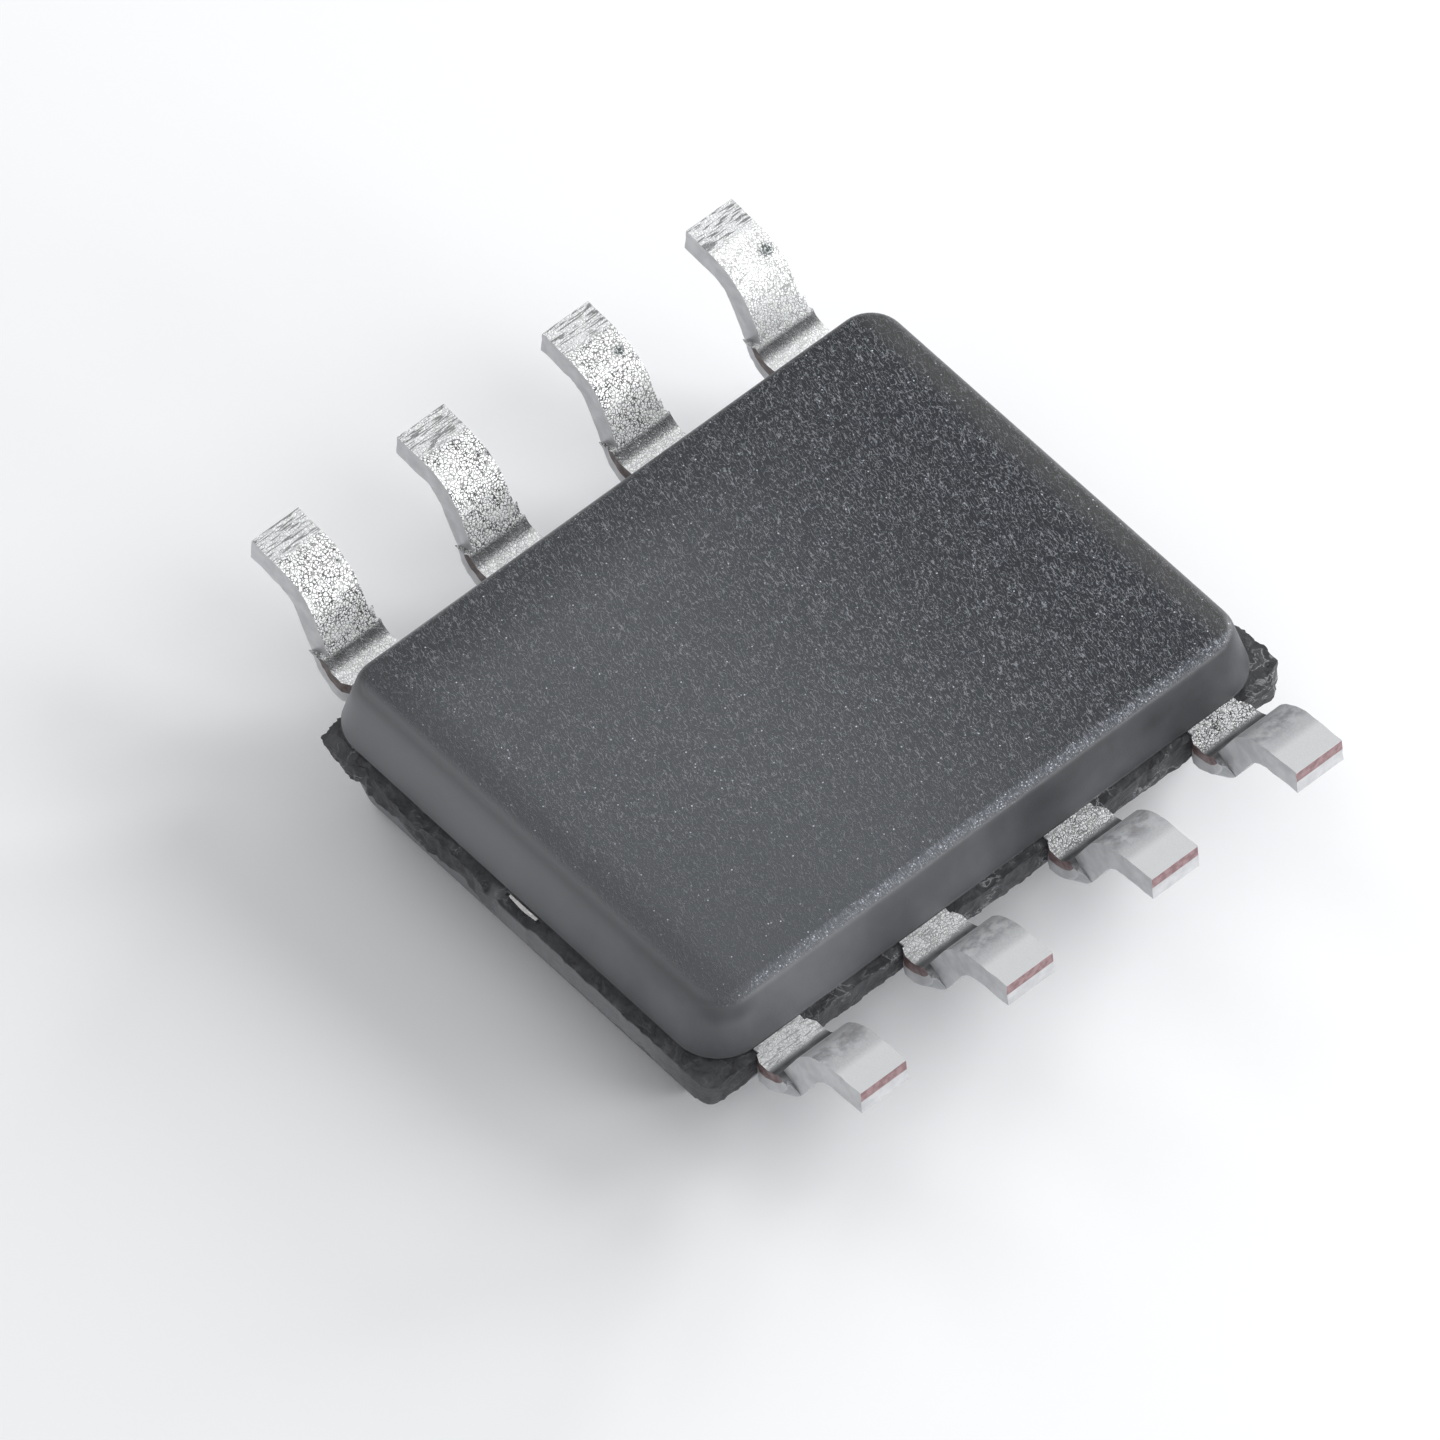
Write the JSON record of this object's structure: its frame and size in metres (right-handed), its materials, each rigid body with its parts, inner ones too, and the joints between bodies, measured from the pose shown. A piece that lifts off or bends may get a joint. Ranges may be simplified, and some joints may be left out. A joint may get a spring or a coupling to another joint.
{
  "type": "soic chip",
  "caption": "Small-outline chip package with a drafted moulded body and two rows of gull-wing leads, lying belly up with its solder feet in the air.",
  "frame": {"origin": "middle of the marked face, which the part lies on", "axes": "+X along the rows of leads, +Y from the row of lead 1 to the other row, +Z out of the belly towards the solder feet"},
  "size_m": [0.0052, 0.006, 0.0014],
  "materials": {
    "mould_compound": "charcoal epoxy mould compound, spark-eroded matte on the belly, smoother walls",
    "tin_plated_lead": "matte tin plate over copper alloy, bare copper at the cut ends",
    "copper_alloy": "rolled copper alloy lead frame",
    "die_attach_epoxy": "silver-filled epoxy",
    "silicon": "polished silicon",
    "bond_wire_metal": "drawn gold wire"
  },
  "bodies": {
    "root": {"bond_wire_1": "bond_wire_metal", "bond_wire_2": "bond_wire_metal", "bond_wire_3": "bond_wire_metal", "bond_wire_4": "bond_wire_metal", "bond_wire_5": "bond_wire_metal", "bond_wire_6": "bond_wire_metal", "bond_wire_7": "bond_wire_metal", "bond_wire_8": "bond_wire_metal", "die_attach": "die_attach_epoxy", "die_paddle": "copper_alloy", "lead_1": "tin_plated_lead", "lead_2": "tin_plated_lead", "lead_3": "tin_plated_lead", "lead_4": "tin_plated_lead", "lead_5": "tin_plated_lead", "lead_6": "tin_plated_lead", "lead_7": "tin_plated_lead", "lead_8": "tin_plated_lead", "moulded_body": "mould_compound", "silicon_die": "silicon"}
  },
  "joints": []
}
